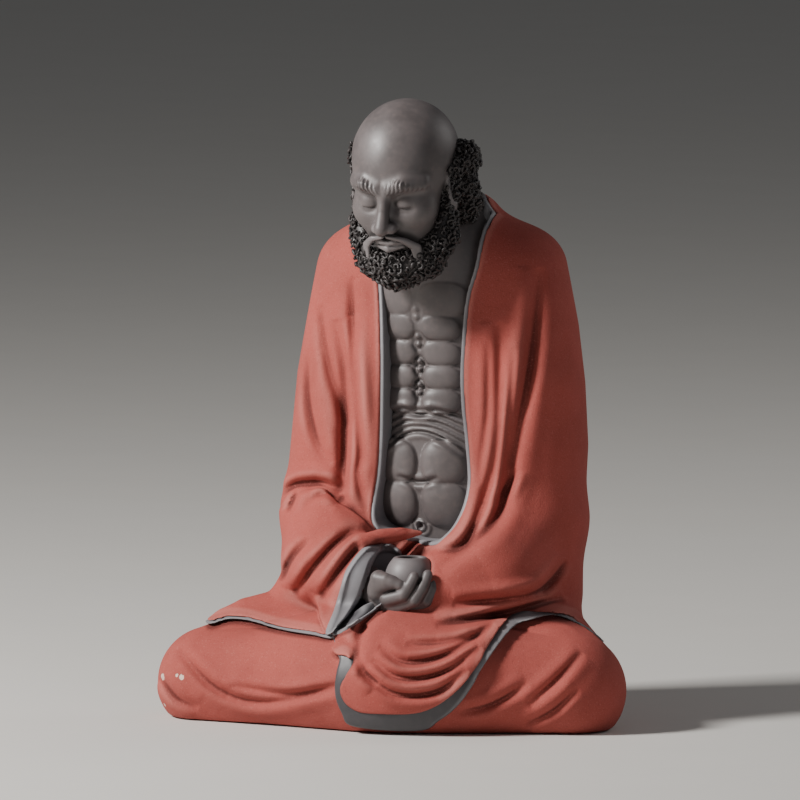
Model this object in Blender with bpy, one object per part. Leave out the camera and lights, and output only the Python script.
"""A seated bald monk of fired clay in a loose robe, and the hand that holds a small bowl.

Every form is a distance field, below zero inside the clay. The forms are drawn in units of a
three-hundredth of the figure's height, with the figure facing -Y and Z up. The folds and hems of
the robe are drawn as lines on a sheet that stands square to a viewer at the front left.
"""
import math

import bpy
import numpy as np

# Driving sizes, in metres.
FIGURE_HEIGHT = 0.300
UNIT = FIGURE_HEIGHT / 300

# Driving sizes, in units.
LAYER = 4.6
TAIL_LAYER = 3.0
BOWL_CENTRE = (9.5, -46, 71)
BOWL_RADIUS = 12.3
BOWL_HEIGHT = 13.5
BOWL_WALL = 2.0
BOWL_MOUTH_HEIGHT = 81.5
BOWL_MOUTH_RADIUS = 5.9
HEAD_CENTRE = (0, -31, 259.9)
HEAD_TILT = 18
CHEST_MIDDLE = 0.3

# The sheet's viewer.
SHEET_AZIMUTH = math.radians(24)
SHEET_ELEVATION = math.radians(7)

# The middle of the base, and how near the ground the clay is cut flat.
MIDDLE = (-4.7, -13.6)
FLAT = 0.7

# The gap between the hand and the robe that it is set into.
PARTING_GAP = 1.3

# Mesh sizes.
GRID_STEP = 1.5
HAND_GRID_STEP = 0.8
ROUGH_CELLS = 4
TRIANGLES = 7300
HAND_TRIANGLES = 2400

# Colours and roughness of the fired clay.
RED_CLAY = (0.36, 0.095, 0.065)
RED_ROUGHNESS = 0.75
DARK_CLAY = (0.075, 0.062, 0.062)
DARK_ROUGHNESS = 0.45

# The cloak's sections at their heights: middle, half width, reach to the front and to the back.
TRUNK_HEIGHTS = (0, 25, 60, 100, 140, 180, 205, 222, 236, 246, 254)
TRUNK_MIDDLE = (10, 12, 12, 11, 10, 10, 10, 9, 8, 6, 5)
TRUNK_HALF_WIDTH = (66, 66, 62, 60, 59, 56, 52, 46, 38, 31, 27)
TRUNK_FRONT = (46, 42, 34, 33, 34, 34, 31, 28, 27, 25, 23)
TRUNK_BACK = (50, 50, 50, 50, 48, 43, 37, 31, 26, 23, 21)

# The opening of the robe, seen from the front: (x, z).
OPENING = ((-20, 208), (-17, 178), (-17, 150), (-18, 128), (-21, 102), (-17, 92), (-6, 88), (6, 85),
           (17, 87), (25, 97), (29, 114), (28, 134), (26, 157), (26, 182), (27, 204), (31, 226),
           (27, 262), (-27, 262), (-25, 230))

# The joints of the palm and the thumb, then the fingers' knuckles, joints, middles and tips, each row
# from the index to the little one. A joint is a place from the bowl's middle, in shares of the bowl's
# radius across, up and out on the sheet, and its own radius.
PALM = ((-1.22, -0.56, -0.32, 7.5), (-0.57, -0.93, 0.33, 8))
THUMB = ((-1.30, -0.52, 0.50, 4.6), (-1.22, 0.01, 0.66, 4.3),
         (-0.93, -0.03, 0.98, 3.2), (-0.44, -0.23, 1.19, 2.6))
FINGERS = (((-0.89, -0.80, 0.74, 3.6), (-0.49, -1.09, 0.74, 3.6), (0.00, -1.17, 0.58, 3.5), (0.41, -1.13, 0.25, 3.2)),
           ((-0.28, -0.64, 1.23, 3.1), (0.17, -0.84, 1.23, 3.1), (0.61, -0.88, 0.98, 2.9), (0.94, -0.84, 0.58, 2.6)),
           ((-0.04, -0.27, 1.23, 2.8), (0.49, -0.32, 1.15, 2.8), (0.86, -0.40, 0.86, 2.6), (1.14, -0.44, 0.46, 2.3)),
           ((0.14, 0.09, 1.15, 2.4), (0.67, 0.17, 0.94, 2.4), (1.00, 0.05, 0.58, 2.2), (1.19, -0.07, 0.25, 2)))

# Hems and the sleeve's mouth, on the sheet: (across, up).
LAP_CLOTH = ((-46, 36), (-47, 30.5), (-44.5, 27.5), (-45.4, 22.5), (-45.8, 16), (-45.2, 8.7), (-43, 2.5),
             (-39, -5), (-23, -7), (-3, -7.4), (4, -1.5), (12, 2.5), (20.6, 14.4), (24, 21), (38, 41),
             (48, 45.5), (60, 47.5), (75, 40.5), (84, 34), (92, 38), (84, 62), (60, 110), (-20, 110), (-50, 60))
TAIL_CLOTH = ((-102, 45), (-96, 50), (-87, 46), (-73, 41), (-56, 38), (-47, 36.5), (-38, 41), (-29, 47),
              (-20, 54), (-24, 90), (-60, 110), (-90, 75), (-105, 55))
SLEEVE_MOUTH = ((-50, 39), (-46, 50), (-43, 60), (-39.5, 71), (-32, 80), (-22.5, 82), (-15, 78), (-10, 66),
                (-22, 54), (-31, 47), (-40, 41.5), (-46, 38.5))
SLEEVE_INSIDE = ((-38, 47), (-34, 56), (-31, 66), (-28, 74), (-23, 77.5), (-15, 75), (-10, 66), (-22, 55.5),
                 (-31, 48.5))


def length(*parts):
    """The length of a vector given by its parts."""
    return np.sqrt(sum(part * part for part in parts))


def smooth_step(value, low, high):
    """A soft rise from 0 at low to 1 at high."""
    share = np.clip((value - low) / (high - low), 0, 1)
    return share * share * (3 - 2 * share)


def blend(first, second, reach):
    """Two forms joined, with a fillet of about this reach."""
    share = np.clip(0.5 + 0.5 * (second - first) / reach, 0, 1)
    return second + (first - second) * share - reach * share * (1 - share)


def common(first, second, reach):
    """What two forms share, with a rounded edge."""
    return -blend(-first, -second, reach)


def cut(form, tool, reach):
    """A form with a tool taken away from it, with a rounded edge."""
    return -blend(-form, tool, reach)


def turned(p, centre, tilt=0, roll=0, turn=0):
    """Points seen from a form's own frame: at its centre, turned about Z, rolled about Y, tilted about X."""
    x, y, z = (axis - middle for axis, middle in zip(p, centre))
    for_turn, for_roll, for_tilt = (math.radians(angle) for angle in (turn, roll, tilt))
    x, y = x * math.cos(for_turn) + y * math.sin(for_turn), y * math.cos(for_turn) - x * math.sin(for_turn)
    x, z = x * math.cos(for_roll) - z * math.sin(for_roll), z * math.cos(for_roll) + x * math.sin(for_roll)
    y, z = y * math.cos(for_tilt) + z * math.sin(for_tilt), z * math.cos(for_tilt) - y * math.sin(for_tilt)
    return x, y, z


def ellipsoid(p, centre, radii, tilt=0, roll=0, turn=0):
    """An ellipsoid with these half sizes."""
    q = turned(p, centre, tilt, roll, turn)
    near = length(*(axis / radius for axis, radius in zip(q, radii)))
    slope = length(*(axis / radius**2 for axis, radius in zip(q, radii)))
    return near * (near - 1) / np.maximum(slope, 1e-6)


def limb(p, *joints):
    """A run of round cones through joints of (x, y, z, radius)."""
    nearest = None
    for start, end in zip(joints, joints[1:]):
        run = [b - a for a, b in zip(start[:3], end[:3])]
        off = [axis - a for axis, a in zip(p, start[:3])]
        share = np.clip(sum(o * r for o, r in zip(off, run)) / sum(r * r for r in run), 0, 1)
        radius = start[3] + (end[3] - start[3]) * share
        reach = length(*(o - share * r for o, r in zip(off, run))) - radius
        nearest = reach if nearest is None else np.minimum(nearest, reach)
    return nearest


def profile(at, stations, values):
    """A smooth curve through values at stations, level at both ends."""
    stations = np.asarray(stations, float)
    values = np.asarray(values, float)
    slopes = np.gradient(values, stations)
    slopes[0] = slopes[-1] = 0
    at = np.clip(at, stations[0], stations[-1])
    i = np.clip(np.searchsorted(stations, at) - 1, 0, len(stations) - 2)
    span = stations[i + 1] - stations[i]
    t = (at - stations[i]) / span
    ease = t * t * (3 - 2 * t)
    bow = (t**3 - 2 * t**2 + t) * slopes[i] + (t**3 - t**2) * slopes[i + 1]
    return values[i] + (values[i + 1] - values[i]) * ease + bow * span


def drawn(points, closed=False, steps=5):
    """A smooth line through drawn points."""
    points = np.asarray(points, float)
    if closed:
        points = np.concatenate([points[-1:], points, points[:2]])
    else:
        points = np.concatenate([2 * points[:1] - points[1:2], points, 2 * points[-1:] - points[-2:-1]])
    line = []
    for a, b, c, d in zip(points, points[1:], points[2:], points[3:]):
        for t in np.arange(steps) / steps:
            bend = (2 * a - 5 * b + 4 * c - d) * t**2 + (3 * b - a - 3 * c + d) * t**3
            line.append(b + ((c - a) * t + bend) / 2)
    if not closed:
        line.append(points[-2])
    return np.array(line)


def near_line(u, v, line, reach):
    """Which points lie within reach of the box around a line."""
    low, high = line.min(0) - reach, line.max(0) + reach
    return (u > low[0]) & (u < high[0]) & (v > low[1]) & (v < high[1])


def inside_of(u, v, points, reach=14):
    """The distance to a closed drawn line, below zero inside and no more than reach."""
    line = drawn(points, closed=True)
    found = np.full(u.shape, float(reach))
    near = near_line(u, v, line, reach)
    u, v = u[near], v[near]
    nearest = np.full(u.shape, 1e9)
    inside = np.zeros(u.shape, bool)
    for (ax, ay), (bx, by) in zip(line, np.roll(line, -1, 0)):
        rx, ry = bx - ax, by - ay
        ox, oy = u - ax, v - ay
        share = np.clip((ox * rx + oy * ry) / (rx * rx + ry * ry), 0, 1)
        nearest = np.minimum(nearest, (ox - share * rx)**2 + (oy - share * ry)**2)
        if ay != by:
            inside ^= ((ay > v) != (by > v)) & (u < ax + (v - ay) * rx / ry)
    found[near] = np.minimum(np.where(inside, -1, 1) * np.sqrt(nearest), reach)
    return found


def stroke(u, v, points, reach):
    """Where a point stands by an open drawn line: chosen points, distance, side and share along."""
    line = drawn(points)
    near = near_line(u, v, line, reach)
    u, v = u[near], v[near]
    runs = np.diff(line, axis=0)
    sizes = np.hypot(runs[:, 0], runs[:, 1])
    starts = np.concatenate([[0], np.cumsum(sizes)])
    nearest = np.full(u.shape, 1e9)
    side = np.zeros(u.shape)
    along = np.zeros(u.shape)
    for (ax, ay), (rx, ry), size, start in zip(line, runs, sizes, starts):
        ox, oy = u - ax, v - ay
        share = np.clip((ox * rx + oy * ry) / size**2, 0, 1)
        square = (ox - share * rx)**2 + (oy - share * ry)**2
        closer = square < nearest
        nearest = np.where(closer, square, nearest)
        side = np.where(closer, np.sign(rx * oy - ry * ox), side)
        along = np.where(closer, start + share * size, along)
    return near, np.sqrt(nearest), side, along / starts[-1]


def groove(u, v, points, depth, width, lean=0.0):
    """A carved groove with raised shoulders; lean 1 raises only the shoulder on its left."""
    height = np.zeros(u.shape)
    near, away, side, along = stroke(u, v, points, 5 * width)
    taper = np.sin(np.pi * np.clip(along, 0, 1))**0.5
    shoulder = 0.55 * (1 + lean * side) * np.exp(-((away - 2.3 * width) / (1.5 * width))**2)
    height[near] = depth * taper * (shoulder - np.exp(-(away / width)**2))
    return height


def family(first, last, count):
    """Lines spaced evenly from a first to a last one."""
    first, last = np.asarray(first, float), np.asarray(last, float)
    return [first + (last - first) * k / max(count - 1, 1) for k in range(count)]


def sheet(p):
    """Points on the sheet: across, up and out towards its viewer."""
    x, y, z = p
    across = x * math.cos(SHEET_AZIMUTH) + y * math.sin(SHEET_AZIMUTH)
    out = x * math.sin(SHEET_AZIMUTH) - y * math.cos(SHEET_AZIMUTH)
    up = z * math.cos(SHEET_ELEVATION) - out * math.sin(SHEET_ELEVATION)
    return across, up, out


def from_sheet(across, up, out, radius):
    """A joint drawn on the sheet, in the figure's own frame."""
    x = across * math.cos(SHEET_AZIMUTH) + out * math.sin(SHEET_AZIMUTH)
    y = across * math.sin(SHEET_AZIMUTH) - out * math.cos(SHEET_AZIMUTH)
    z = (up + out * math.sin(SHEET_ELEVATION)) / math.cos(SHEET_ELEVATION)
    return x, y, z, radius


def from_bowl(across, up, out, radius):
    """A joint drawn from the bowl's middle in shares of its radius, in the figure's own frame."""
    place = from_sheet(*(BOWL_RADIUS * share for share in (across, up, out)), radius)
    return *(middle + offset for middle, offset in zip(BOWL_CENTRE, place)), radius


def mirrored(q):
    """Both sides folded onto the figure's left."""
    return np.abs(q[0]), q[1], q[2]


def trunk(p):
    """The cloak around the body, as sections at every height."""
    x, y, z = p
    away = y - profile(z, TRUNK_HEIGHTS, TRUNK_MIDDLE)
    front = profile(z, TRUNK_HEIGHTS, TRUNK_FRONT)
    back = profile(z, TRUNK_HEIGHTS, TRUNK_BACK)
    depth = np.where(away < 0, front, back)
    near = length(x / profile(z, TRUNK_HEIGHTS, TRUNK_HALF_WIDTH), away / depth)
    side = 0.97 * length(x, away) * (1 - 1 / np.maximum(near, 0.05))
    return common(side, z - 252, 6)


def arms(p):
    """Both sleeves, with the bent elbows and the forearms led to the bowl."""
    right_upper = limb(p, (-42, 13, 212, 22), (-49.5, 9, 160, 23), (-50.5, 3, 100, 25.5))
    right_fore = limb(p, (-49.5, 2, 96, 25.5), (-37, -26, 76, 22.5), (-17, -42, 66, 16))
    left_upper = limb(p, (42, 13, 215, 22), (46, 14, 186, 23.4), (48, 14, 160, 24.6), (48.5, 14, 132, 25.5),
                      (47, 13, 102, 25.5))
    left_fore = limb(p, (46.5, 10, 92, 25.5), (42, -18, 74, 25), (20, -34, 62, 20))
    left_fall = limb(p, (46.5, 12, 92, 25.5), (46, 11, 62, 25.5))
    left = blend(left_upper, blend(left_fore, left_fall, 8), 10)
    return blend(blend(right_upper, right_fore, 10), left, 10)


def legs(p):
    """The crossed legs under the robe, and the lap between them."""
    right = limb(p, (-36, 14, 34, 34), (-94, -47, 17, 26.5), (-12, -58, 20, 23))
    left = limb(p, (36, 14, 34, 34), (83, -26, 19, 28), (10, -58, 20, 23))
    lap = ellipsoid(p, (0, -34, 22), (66, 46, 34))
    return blend(blend(right, left, 14), lap, 18)


def cloak(p):
    """The upper robe with its sleeves and the tail of the right sleeve."""
    tail = limb(p, (-52, -4, 66, 18), from_sheet(-72, 49, -10, 8.5), from_sheet(-88, 47.5, -8, 6),
                from_sheet(-98, 45, -8, 3.5))
    return blend(blend(trunk(p), arms(p), 16), tail, 14)


def lap_height(across):
    """The thickness of the cloth laid over the lap, which thins out towards the left knee."""
    return LAYER * (1 - smooth_step(across, 45, 82))


def lap_layer(p, under):
    """The cloth laid over the lap."""
    across, up, out = sheet(p)
    hem = np.maximum(inside_of(across, up, LAP_CLOTH), -(out + 22))
    return common(under - lap_height(across), hem, 1.5)


def tail_layer(p, under):
    """The tail of the right sleeve, laid over the thigh."""
    across, up, out = sheet(p)
    hem = np.maximum(inside_of(across, up, TAIL_CLOTH), -(out + 26))
    return common(under - TAIL_LAYER, hem, 1)


def sleeve_mouth(p, robe):
    """The hollow of the right sleeve: a broad lining near its edge, then the deep inside."""
    across, up, out = sheet(p)
    edge = inside_of(across, up, SLEEVE_MOUTH)
    deep = inside_of(across, up, SLEEVE_INSIDE)
    floor = 1.3 - 0.12 * np.minimum(edge, 0) + 14 * smooth_step(-deep, -1, 4)
    return np.maximum(np.maximum(edge, -(robe + floor)), -(out - 15))


def chest_opening(p):
    """The open front of the robe, and the collar's hole around the neck."""
    x, y, z = p
    front = np.maximum(inside_of(x, z, OPENING), y - 4)
    collar = limb(p, (0, 0, 224, 22), (0, -4, 248, 28), (0, -6, 275, 34))
    return blend(front, collar, 4)


def robe(p):
    """The whole robe, standing flat."""
    under = legs(p)
    form = blend(cloak(p), blend(under, lap_layer(p, under), 1), 5)
    form = np.minimum(form, tail_layer(p, form))
    form = cut(form, sleeve_mouth(p, form), 1)
    form = cut(form, chest_opening(p), 1.5)
    return common(form, -p[2], 2.5)


def robe_relief(p):
    """The height of the robe's folds above its plain form."""
    folds = []

    def add(points, depth, width, lean=0.0):
        folds.append((points, depth, width, lean))

    # Right half of the body: the arm's folds and the panel beside the opening.
    add([(-53, 197), (-52, 186), (-48, 164), (-40, 138)], 2.0, 2.6)
    add([(-46, 190), (-42, 167), (-41, 142), (-43, 100)], 4.2, 3.0, 0.4)
    add([(-44, 104), (-38, 99), (-27, 88)], 2.6, 2.4)
    add([(-38, 210), (-37, 167), (-34, 128), (-35, 113), (-29, 90)], 2.6, 2.2)
    add([(-59, 176), (-59, 152), (-55, 133), (-48, 120)], 2.0, 2.4)
    add([(-73, 105), (-64, 111), (-52, 111), (-43, 107)], 3.4, 2.0, 0.5)
    add([(-69, 97), (-64, 107), (-55, 110)], 1.6, 1.6)
    add([(-57, 105), (-50, 106), (-43, 102)], 1.4, 1.5)
    for line in family([(-66, 58), (-54, 73), (-44, 83), (-34, 88), (-20, 83)],
                       [(-53, 56), (-46, 66), (-37, 78), (-31, 83), (-22, 83)], 2):
        add(line, 2.8, 2.2, 0.5)
    add([(-72, 64), (-66, 76), (-58, 84)], 1.8, 2.2)

    # The knot of cloth where the two sides meet.
    add([(-24, 84), (-13, 89), (-6, 90), (-1, 86)], 2.0, 1.4, -0.5)
    add([(-16, 74), (-8, 82), (-2, 86)], 2.2, 1.4)

    # Left half: long folds from the shoulder and the armpit to the lap.
    add([(52, 214), (49, 179), (43, 145), (34, 101), (22, 84), (3, 70)], 4.0, 3.2, -0.4)
    add([(39, 176), (38, 152), (36, 123), (32, 100)], 2.2, 2.2)
    add([(33, 188), (32, 137), (27, 108), (16, 83), (0, 77)], 3.4, 2.6, -0.3)
    add([(27, 180), (27, 152), (26, 137), (22, 110)], 1.6, 2.0)
    add([(41, 118), (38, 111), (34, 104)], 1.6, 1.6)
    add([(10, 53), (34, 55), (53, 60), (65, 74)], 2.8, 2.2, 0.5)
    add([(2, 43), (24, 46), (48, 52), (64, 56)], 2.6, 2.2, 0.4)

    # The lap and the folds that hang over the shins.
    add([(-22, 52), (-33, 42), (-35, 30), (-33, 22), (-26, 14)], 2.8, 2.2, -0.6)
    add([(-43, 37), (-37, 30), (-40, 20)], 2.4, 1.6)
    add([(-12, 34), (4, 34), (20, 38)], 1.8, 1.8)
    for line in family([(-25, 33), (-12, 25), (8, 29), (30, 44)], [(-32, 20), (-17, 10), (2, 11), (17, 22)], 3):
        add(line, 2.6, 1.9)
    add([(-97, 14), (-68, 10), (-44, 14)], 2.0, 1.8)
    add([(-122, 32), (-102, 12), (-78, 6), (-44, 12)], 2.4, 2.2)
    add([(-130, 18), (-122, 8), (-112, 3)], 1.6, 2.0)
    add([(12, 1), (29, 5), (46, 15)], 2.0, 2.0)
    add([(46, 5), (60, 17), (72, 30)], 2.0, 2.0)
    add([(44, -5), (58, 2), (70, 13)], 1.6, 1.8)
    u, v, out = sheet(p)
    height = sum(groove(u, v, *fold) for fold in folds)
    return height * smooth_step(out, -28, -8) + back_relief(p)


def back_relief(p):
    """Long plain folds down the back of the robe."""
    x, y, z = p
    across = x + 0.10 * (z - 120) * np.sin(x / 30)
    waves = 1.5 * np.cos(across / 7.5) + 0.9 * np.cos(across / 4.1 + z / 60)
    return waves * smooth_step(y, 20, 42) * smooth_step(z, 4, 30) * (1 - smooth_step(z, 180, 225))


def torso(p):
    """The bare chest and belly, set back under the edge of the robe."""
    chest = ellipsoid(p, (2, 12, 196), (44, 26, 62))
    belly = ellipsoid(p, (3, 9, 118), (40, 24, 62))
    return blend(chest, belly, 20)


def neck(p):
    """The neck, led forward to the bowed head."""
    return limb(p, (0, 8, 200, 26), (-2, -12, 244, 18))


def pads(x, z, middle, half_width, half_height, height):
    """A pair of cushions of flesh beside the middle line."""
    across = (np.abs(x - CHEST_MIDDLE) - half_width - 1.2) / half_width
    up = (z - middle) / half_height
    near = np.abs(across)**2.4 + np.abs(up)**2.4
    return height * np.sqrt(np.clip(1 - near, 0, 1))


def torso_relief(p):
    """The height of the wasted body's cushions, skin folds and navel."""
    x, y, z = p
    height = pads(x, z, 203, 11, 8, 2.2)
    for middle in (189, 176.5, 165, 154):
        height = height + pads(x, z, middle, 8.5, 5.8, 2.8)
    height = height + pads(x, z, 124, 9.5, 9.5, 3.2) + pads(x, z, 104.5, 9.5, 10.5, 3.0)
    for rise in range(4):
        arch = [(-21, 127 + 5 * rise), (-10, 137 + 4 * rise), (CHEST_MIDDLE, 140 + 3 * rise),
                (12, 137 + 4 * rise), (27, 126 + 5 * rise)]
        height = height + groove(x, z, arch, 1.8, 1.3)
    ring = length(x - CHEST_MIDDLE, z - 93)
    height = height + 1.6 * np.exp(-((ring - 3.2) / 1.2)**2) - 1.2 * np.exp(-(ring / 1.6)**2)
    return height * (y < 20)


def skull(q):
    """The bald head and the mass of the face."""
    cranium = ellipsoid(q, (0, 5, 12), (25.3, 29, 27))
    face = ellipsoid(q, (0, -8, -8), (19, 19.5, 30))
    cheeks = ellipsoid(mirrored(q), (12.5, -16, -7), (8, 8, 8))
    chin = ellipsoid(q, (0, -19, -32), (9, 8, 7))
    brow = limb(mirrored(q), (3, -25, 7, 3.2), (10, -23.5, 9, 3.4), (17, -17, 7.5, 3))
    return blend(blend(blend(cranium, face, 9), cheeks, 6), blend(chin, brow, 1), 4)


def eyes(q, form):
    """Sockets, eyeballs and lowered lids set into the face."""
    m = mirrored(q)
    form = cut(form, ellipsoid(m, (8.6, -28.5, -0.5), (7.2, 5.5, 4.8)), 3.5)
    ball = ellipsoid(m, (8.8, -18.6, -1), (6, 6, 6))
    lid = ellipsoid(m, (8.8, -18.6, -1), (7, 6.9, 6.6))
    upper = common(lid, -(m[2] + 2.4), 0.4)
    lower = common(lid, m[2] + 3.6, 0.4)
    return blend(np.minimum(form, ball), np.minimum(upper, lower), 1.0)


def nose_and_mouth(q, form):
    """The nose with its wings, and the closed lips."""
    m = mirrored(q)
    nose = limb(m, (0, -25, 5, 2.4), (0, -29, -4, 2.9), (0, -33, -10.5, 3.5))
    wing = ellipsoid(m, (3.9, -29.2, -11.3), (2.7, 3.8, 2.7))
    form = blend(form, blend(nose, wing, 1.8), 2.4)
    form = cut(form, ellipsoid(m, (2.3, -31.5, -14), (1.3, 1.8, 1.2)), 0.5)
    upper = limb(m, (0, -27.6, -19.4, 1.7), (3, -27.6, -18.9, 1.7), (8, -24.4, -20.4, 1.0))
    lower = limb(m, (0, -27.6, -22.6, 2.1), (6.8, -25, -21.9, 1.2))
    return blend(form, np.minimum(upper, lower), 1.0)


def ears(q):
    """Long ears, hollowed inside their rims."""
    m = mirrored(q)
    shell = ellipsoid(m, (23, 1, -3), (3.2, 7, 12), tilt=-12, turn=24)
    hollow = ellipsoid(m, (26.4, -0.8, -1), (2.6, 4.6, 7.5), tilt=-12, turn=24)
    return cut(shell, hollow, 1.2)


def curls(p, size, depth):
    """Small close lumps that stand for curled hair."""
    x, y, z = (axis * 2 * math.pi / size for axis in p)
    waves = np.sin(x + 1.3 * np.sin(z * 0.7)) * np.sin(y + 1.1 * np.sin(x * 0.6)) * np.sin(z + 0.9 * np.sin(y * 0.8))
    return depth * waves


def hair(q):
    """The ring of hair around the bald crown, and the beard."""
    m = mirrored(q)
    ring = limb(m, (23, 4, 8, 4.5), (24.5, 14, 8, 7.5), (20, 24, 2, 7.5), (8, 32, -4, 7.5), (0, 33, -6, 7.5))
    low = limb(m, (24, 13, -6, 7), (21, 18, -18, 8), (0, 27, -16, 9))
    beard = limb(m, (23, 3, 6, 4), (22, -3, -9, 4), (19.5, -8, -23, 8), (12, -16, -32, 9.5), (0, -20, -35, 11))
    mass = blend(blend(ring, low, 6), beard, 4)
    return mass - curls(q, 6.2, 1.5)


def moustache(q):
    """Two drooping strands from under the nose."""
    m = mirrored(q)
    return limb(m, (1.5, -29.4, -15.6, 1.8), (7.5, -27.6, -17.6, 2.2), (12, -24.2, -23, 2.2), (13, -23, -31, 1.6))


def head(p):
    """The whole head in its bowed place."""
    q = turned(p, HEAD_CENTRE, tilt=HEAD_TILT)
    form = nose_and_mouth(q, eyes(q, skull(q)))
    form = blend(form, ears(q), 1.5)
    form = blend(form, hair(q), 1.5)
    return blend(form, moustache(q), 1.0)


def hand(p):
    """The right hand, palm up under the bowl, with the thumb over its near side."""
    form = limb(p, from_sheet(-30.5, 64, 31, 7.8), *(from_bowl(*joint) for joint in PALM))
    form = blend(form, limb(p, *(from_bowl(*joint) for joint in THUMB)), 1.6)
    for joints in zip(*FINGERS):
        form = blend(form, limb(p, *(from_bowl(*joint) for joint in joints)), 1.2)
    return form


def bowl(p):
    """A hollow alms bowl that narrows to its mouth."""
    x, y, z = p
    outer = ellipsoid(p, BOWL_CENTRE, (BOWL_RADIUS, BOWL_RADIUS, BOWL_HEIGHT))
    return common(outer, z - BOWL_MOUTH_HEIGHT, 0.8)


def bowl_space(p):
    """The space inside the bowl and above its mouth."""
    x, y, z = p
    inner = [BOWL_RADIUS - BOWL_WALL, BOWL_RADIUS - BOWL_WALL, BOWL_HEIGHT - BOWL_WALL]
    around = length(x - BOWL_CENTRE[0], y - BOWL_CENTRE[1])
    mouth = np.maximum(around - BOWL_MOUTH_RADIUS, np.abs(z - BOWL_MOUTH_HEIGHT) - 6)
    return blend(ellipsoid(p, BOWL_CENTRE, inner), mouth, 1)


def seat(p):
    """The place of the hand and the bowl in the robe, with a gap around them."""
    held = ellipsoid(p, BOWL_CENTRE, (BOWL_RADIUS, BOWL_RADIUS, BOWL_HEIGHT))
    return np.minimum(held, hand(p)) - PARTING_GAP


def figure(p):
    """The figure without the hand that holds the bowl."""
    flesh = blend(torso(p) - torso_relief(p), neck(p), 12)
    form = np.minimum(cut(robe(p) - robe_relief(p), seat(p), 0.5), flesh)
    form = blend(form, head(p), 1.5)
    return common(form, -p[2], 1.5)


def hand_and_bowl(p):
    """The hand with the hollow bowl."""
    return cut(blend(hand(p), bowl(p), 0.6), bowl_space(p), 0.8)


def sampled(field, low, high, step):
    """The field on a grid: fine near the surface, rough away from it."""
    low = np.asarray(low, float)
    count = np.ceil((np.asarray(high, float) - low) / step / ROUGH_CELLS).astype(int)
    middle = (ROUGH_CELLS - 1) / 2
    axes = [low[i] + step * (np.arange(count[i]) * ROUGH_CELLS + middle) for i in range(3)]
    grid = np.meshgrid(*axes, indexing="ij")
    rough = field([axis.ravel() for axis in grid]).reshape(count)
    fine = rough
    for axis in range(3):
        fine = np.repeat(fine, ROUGH_CELLS, axis)
    near = np.argwhere(np.abs(fine) < 2 * ROUGH_CELLS * step)
    fine[tuple(near.T)] = field([low[i] + step * near[:, i] for i in range(3)])
    return fine


def shifted(values, *shift):
    """The grid without its last row on every axis, moved by a row where the shift is 1."""
    return values[tuple(slice(s, n - 1 + s) for s, n in zip(shift, values.shape))]


def without_pinches(values):
    """The grid with corner-to-corner contacts filled, so that its skin never touches itself."""
    values = values.copy()
    steps = np.eye(3, dtype=int)
    found = True
    while found:
        found = False
        squares = [((0, 0, 0), steps[i], steps[j], steps[i] + steps[j]) for i, j in ((0, 1), (1, 2), (0, 2))]
        for square in squares:
            a, b, c, d = (shifted(values, *corner) < 0 for corner in square)
            pinched = (a == d) & (b == c) & (a != b)
            found |= fill(values, square, pinched)
        cube = [(i, j, k) for i in (0, 1) for j in (0, 1) for k in (0, 1)]
        inside = [shifted(values, *corner) < 0 for corner in cube]
        count = sum(side.astype(int) for side in inside)
        for corner in range(4):
            same = inside[corner] == inside[7 - corner]
            pinched = same & np.where(inside[corner], count == 2, count == 6)
            found |= fill(values, cube, pinched)
    return values


def fill(values, corners, chosen):
    """Puts the corners of the chosen cells just inside the clay, and tells whether there were any."""
    for corner in corners:
        part = shifted(values, *corner)
        part[chosen] = np.minimum(part[chosen], -0.05)
    return chosen.any()


def skin(values, low, step):
    """Points and quads where the sampled field passes zero: one point in every crossed cell."""
    inside = values < 0
    size = np.array(values.shape) - 1
    corners = np.array([(i, j, k) for i in (0, 1) for j in (0, 1) for k in (0, 1)])
    count = np.zeros(size, int)
    for i, j, k in corners:
        count += inside[i:i + size[0], j:j + size[1], k:k + size[2]]
    cells = np.argwhere((count > 0) & (count < 8))
    index = np.full(size, -1)
    index[tuple(cells.T)] = np.arange(len(cells))
    total = np.zeros((len(cells), 3))
    crossings = np.zeros((len(cells), 1))
    for corner in corners:
        for axis in np.flatnonzero(corner == 0):
            along = np.eye(3, dtype=int)[axis]
            near = values[tuple((cells + corner).T)]
            far = values[tuple((cells + corner + along).T)]
            hit = (near < 0) != (far < 0)
            share = near / np.where(hit, near - far, 1)
            total += np.where(hit, 1, 0)[:, None] * (corner + share[:, None] * along)
            crossings += hit[:, None]
    points = np.asarray(low) + step * (cells + total / crossings)
    quads = []
    for axis in range(3):
        first, second = np.eye(3, dtype=int)[[(axis + 1) % 3, (axis + 2) % 3]]
        along = np.eye(3, dtype=int)[axis]
        start = np.argwhere(np.diff(inside, axis=axis))
        start = start[np.all((start > 0) | (along > 0), axis=1)]
        start = start[np.all((start < size) | (along > 0), axis=1)]
        ring = [start - first - second, start - second, start, start - first]
        quad = np.stack([index[tuple(cell.T)] for cell in ring], axis=1)
        outward = inside[tuple(start.T)]
        quads.append(np.where(outward[:, None], quad, quad[:, ::-1]))
    return points, np.concatenate(quads)


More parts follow.
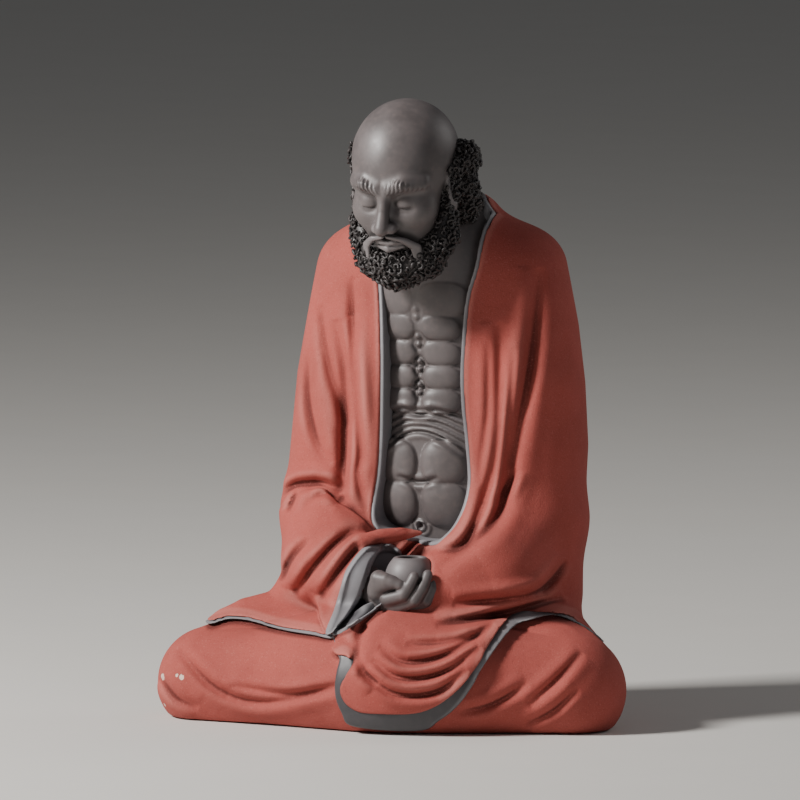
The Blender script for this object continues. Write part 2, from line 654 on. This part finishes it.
def outer_skin(points, quads):
    """Only the largest closed surface, without what is sealed inside it."""
    label = np.arange(len(points))
    while True:
        lowest = label[quads].min(1)
        before = label.copy()
        for corner in range(4):
            np.minimum.at(label, quads[:, corner], lowest)
        label = label[label]
        if np.array_equal(label, before):
            break
    kept = label == np.bincount(label).argmax()
    renumbered = np.cumsum(kept) - 1
    return points[kept], renumbered[quads[kept[quads[:, 0]]]]


def solid(name, points, quads):
    """A Blender object from points in units, with its base flat on the ground and centred."""
    points = points - [MIDDLE[0], MIDDLE[1], 0]
    points[points[:, 2] < FLAT, 2] = 0
    mesh = bpy.data.meshes.new(name)
    mesh.from_pydata((points * UNIT).tolist(), [], quads.tolist())
    mesh.validate()
    item = bpy.data.objects.new(name, mesh)
    bpy.context.scene.collection.objects.link(item)
    return item


def thinned(item, triangles):
    """The same form with only as many triangles as it needs."""
    item.modifiers.new("Triangles", "TRIANGULATE")
    thin = item.modifiers.new("Thin", "DECIMATE")
    thin.ratio = triangles / (2 * len(item.data.polygons))
    shape = item.evaluated_get(bpy.context.evaluated_depsgraph_get())
    mesh = bpy.data.meshes.new_from_object(shape)
    for vertex in mesh.vertices:
        if vertex.co.z < FLAT * UNIT:
            vertex.co.z = 0
    item.modifiers.clear()
    item.data = mesh


def clay(name, colour, roughness):
    """Fired clay of one colour."""
    material = bpy.data.materials.new(name)
    material.use_nodes = True
    shader = material.node_tree.nodes["Principled BSDF"]
    shader.inputs["Base Color"].default_value = (*colour, 1)
    shader.inputs["Roughness"].default_value = roughness
    shader.inputs["Metallic"].default_value = 0
    return material


def carve(name, field, low, high, step, triangles, material):
    """A closed solid from a field inside a box."""
    points, quads = outer_skin(*skin(without_pinches(sampled(field, low, high, step)), low, step))
    item = solid(name, points, quads)
    thinned(item, triangles)
    item.data.materials.clear()
    item.data.materials.append(material)


def main():
    """Build the figure and the hand with its bowl."""
    for item in list(bpy.data.objects):
        bpy.data.objects.remove(item)
    red = clay("red clay", RED_CLAY, RED_ROUGHNESS)
    dark = clay("dark clay", DARK_CLAY, DARK_ROUGHNESS)
    carve("figure", figure, (-130, -110, -6), (130, 72, 306), GRID_STEP, TRIANGLES, red)
    carve("hand_and_bowl", hand_and_bowl, (-44, -78, 42), (38, -14, 92), HAND_GRID_STEP, HAND_TRIANGLES, dark)


if __name__ == "__main__":
    main()
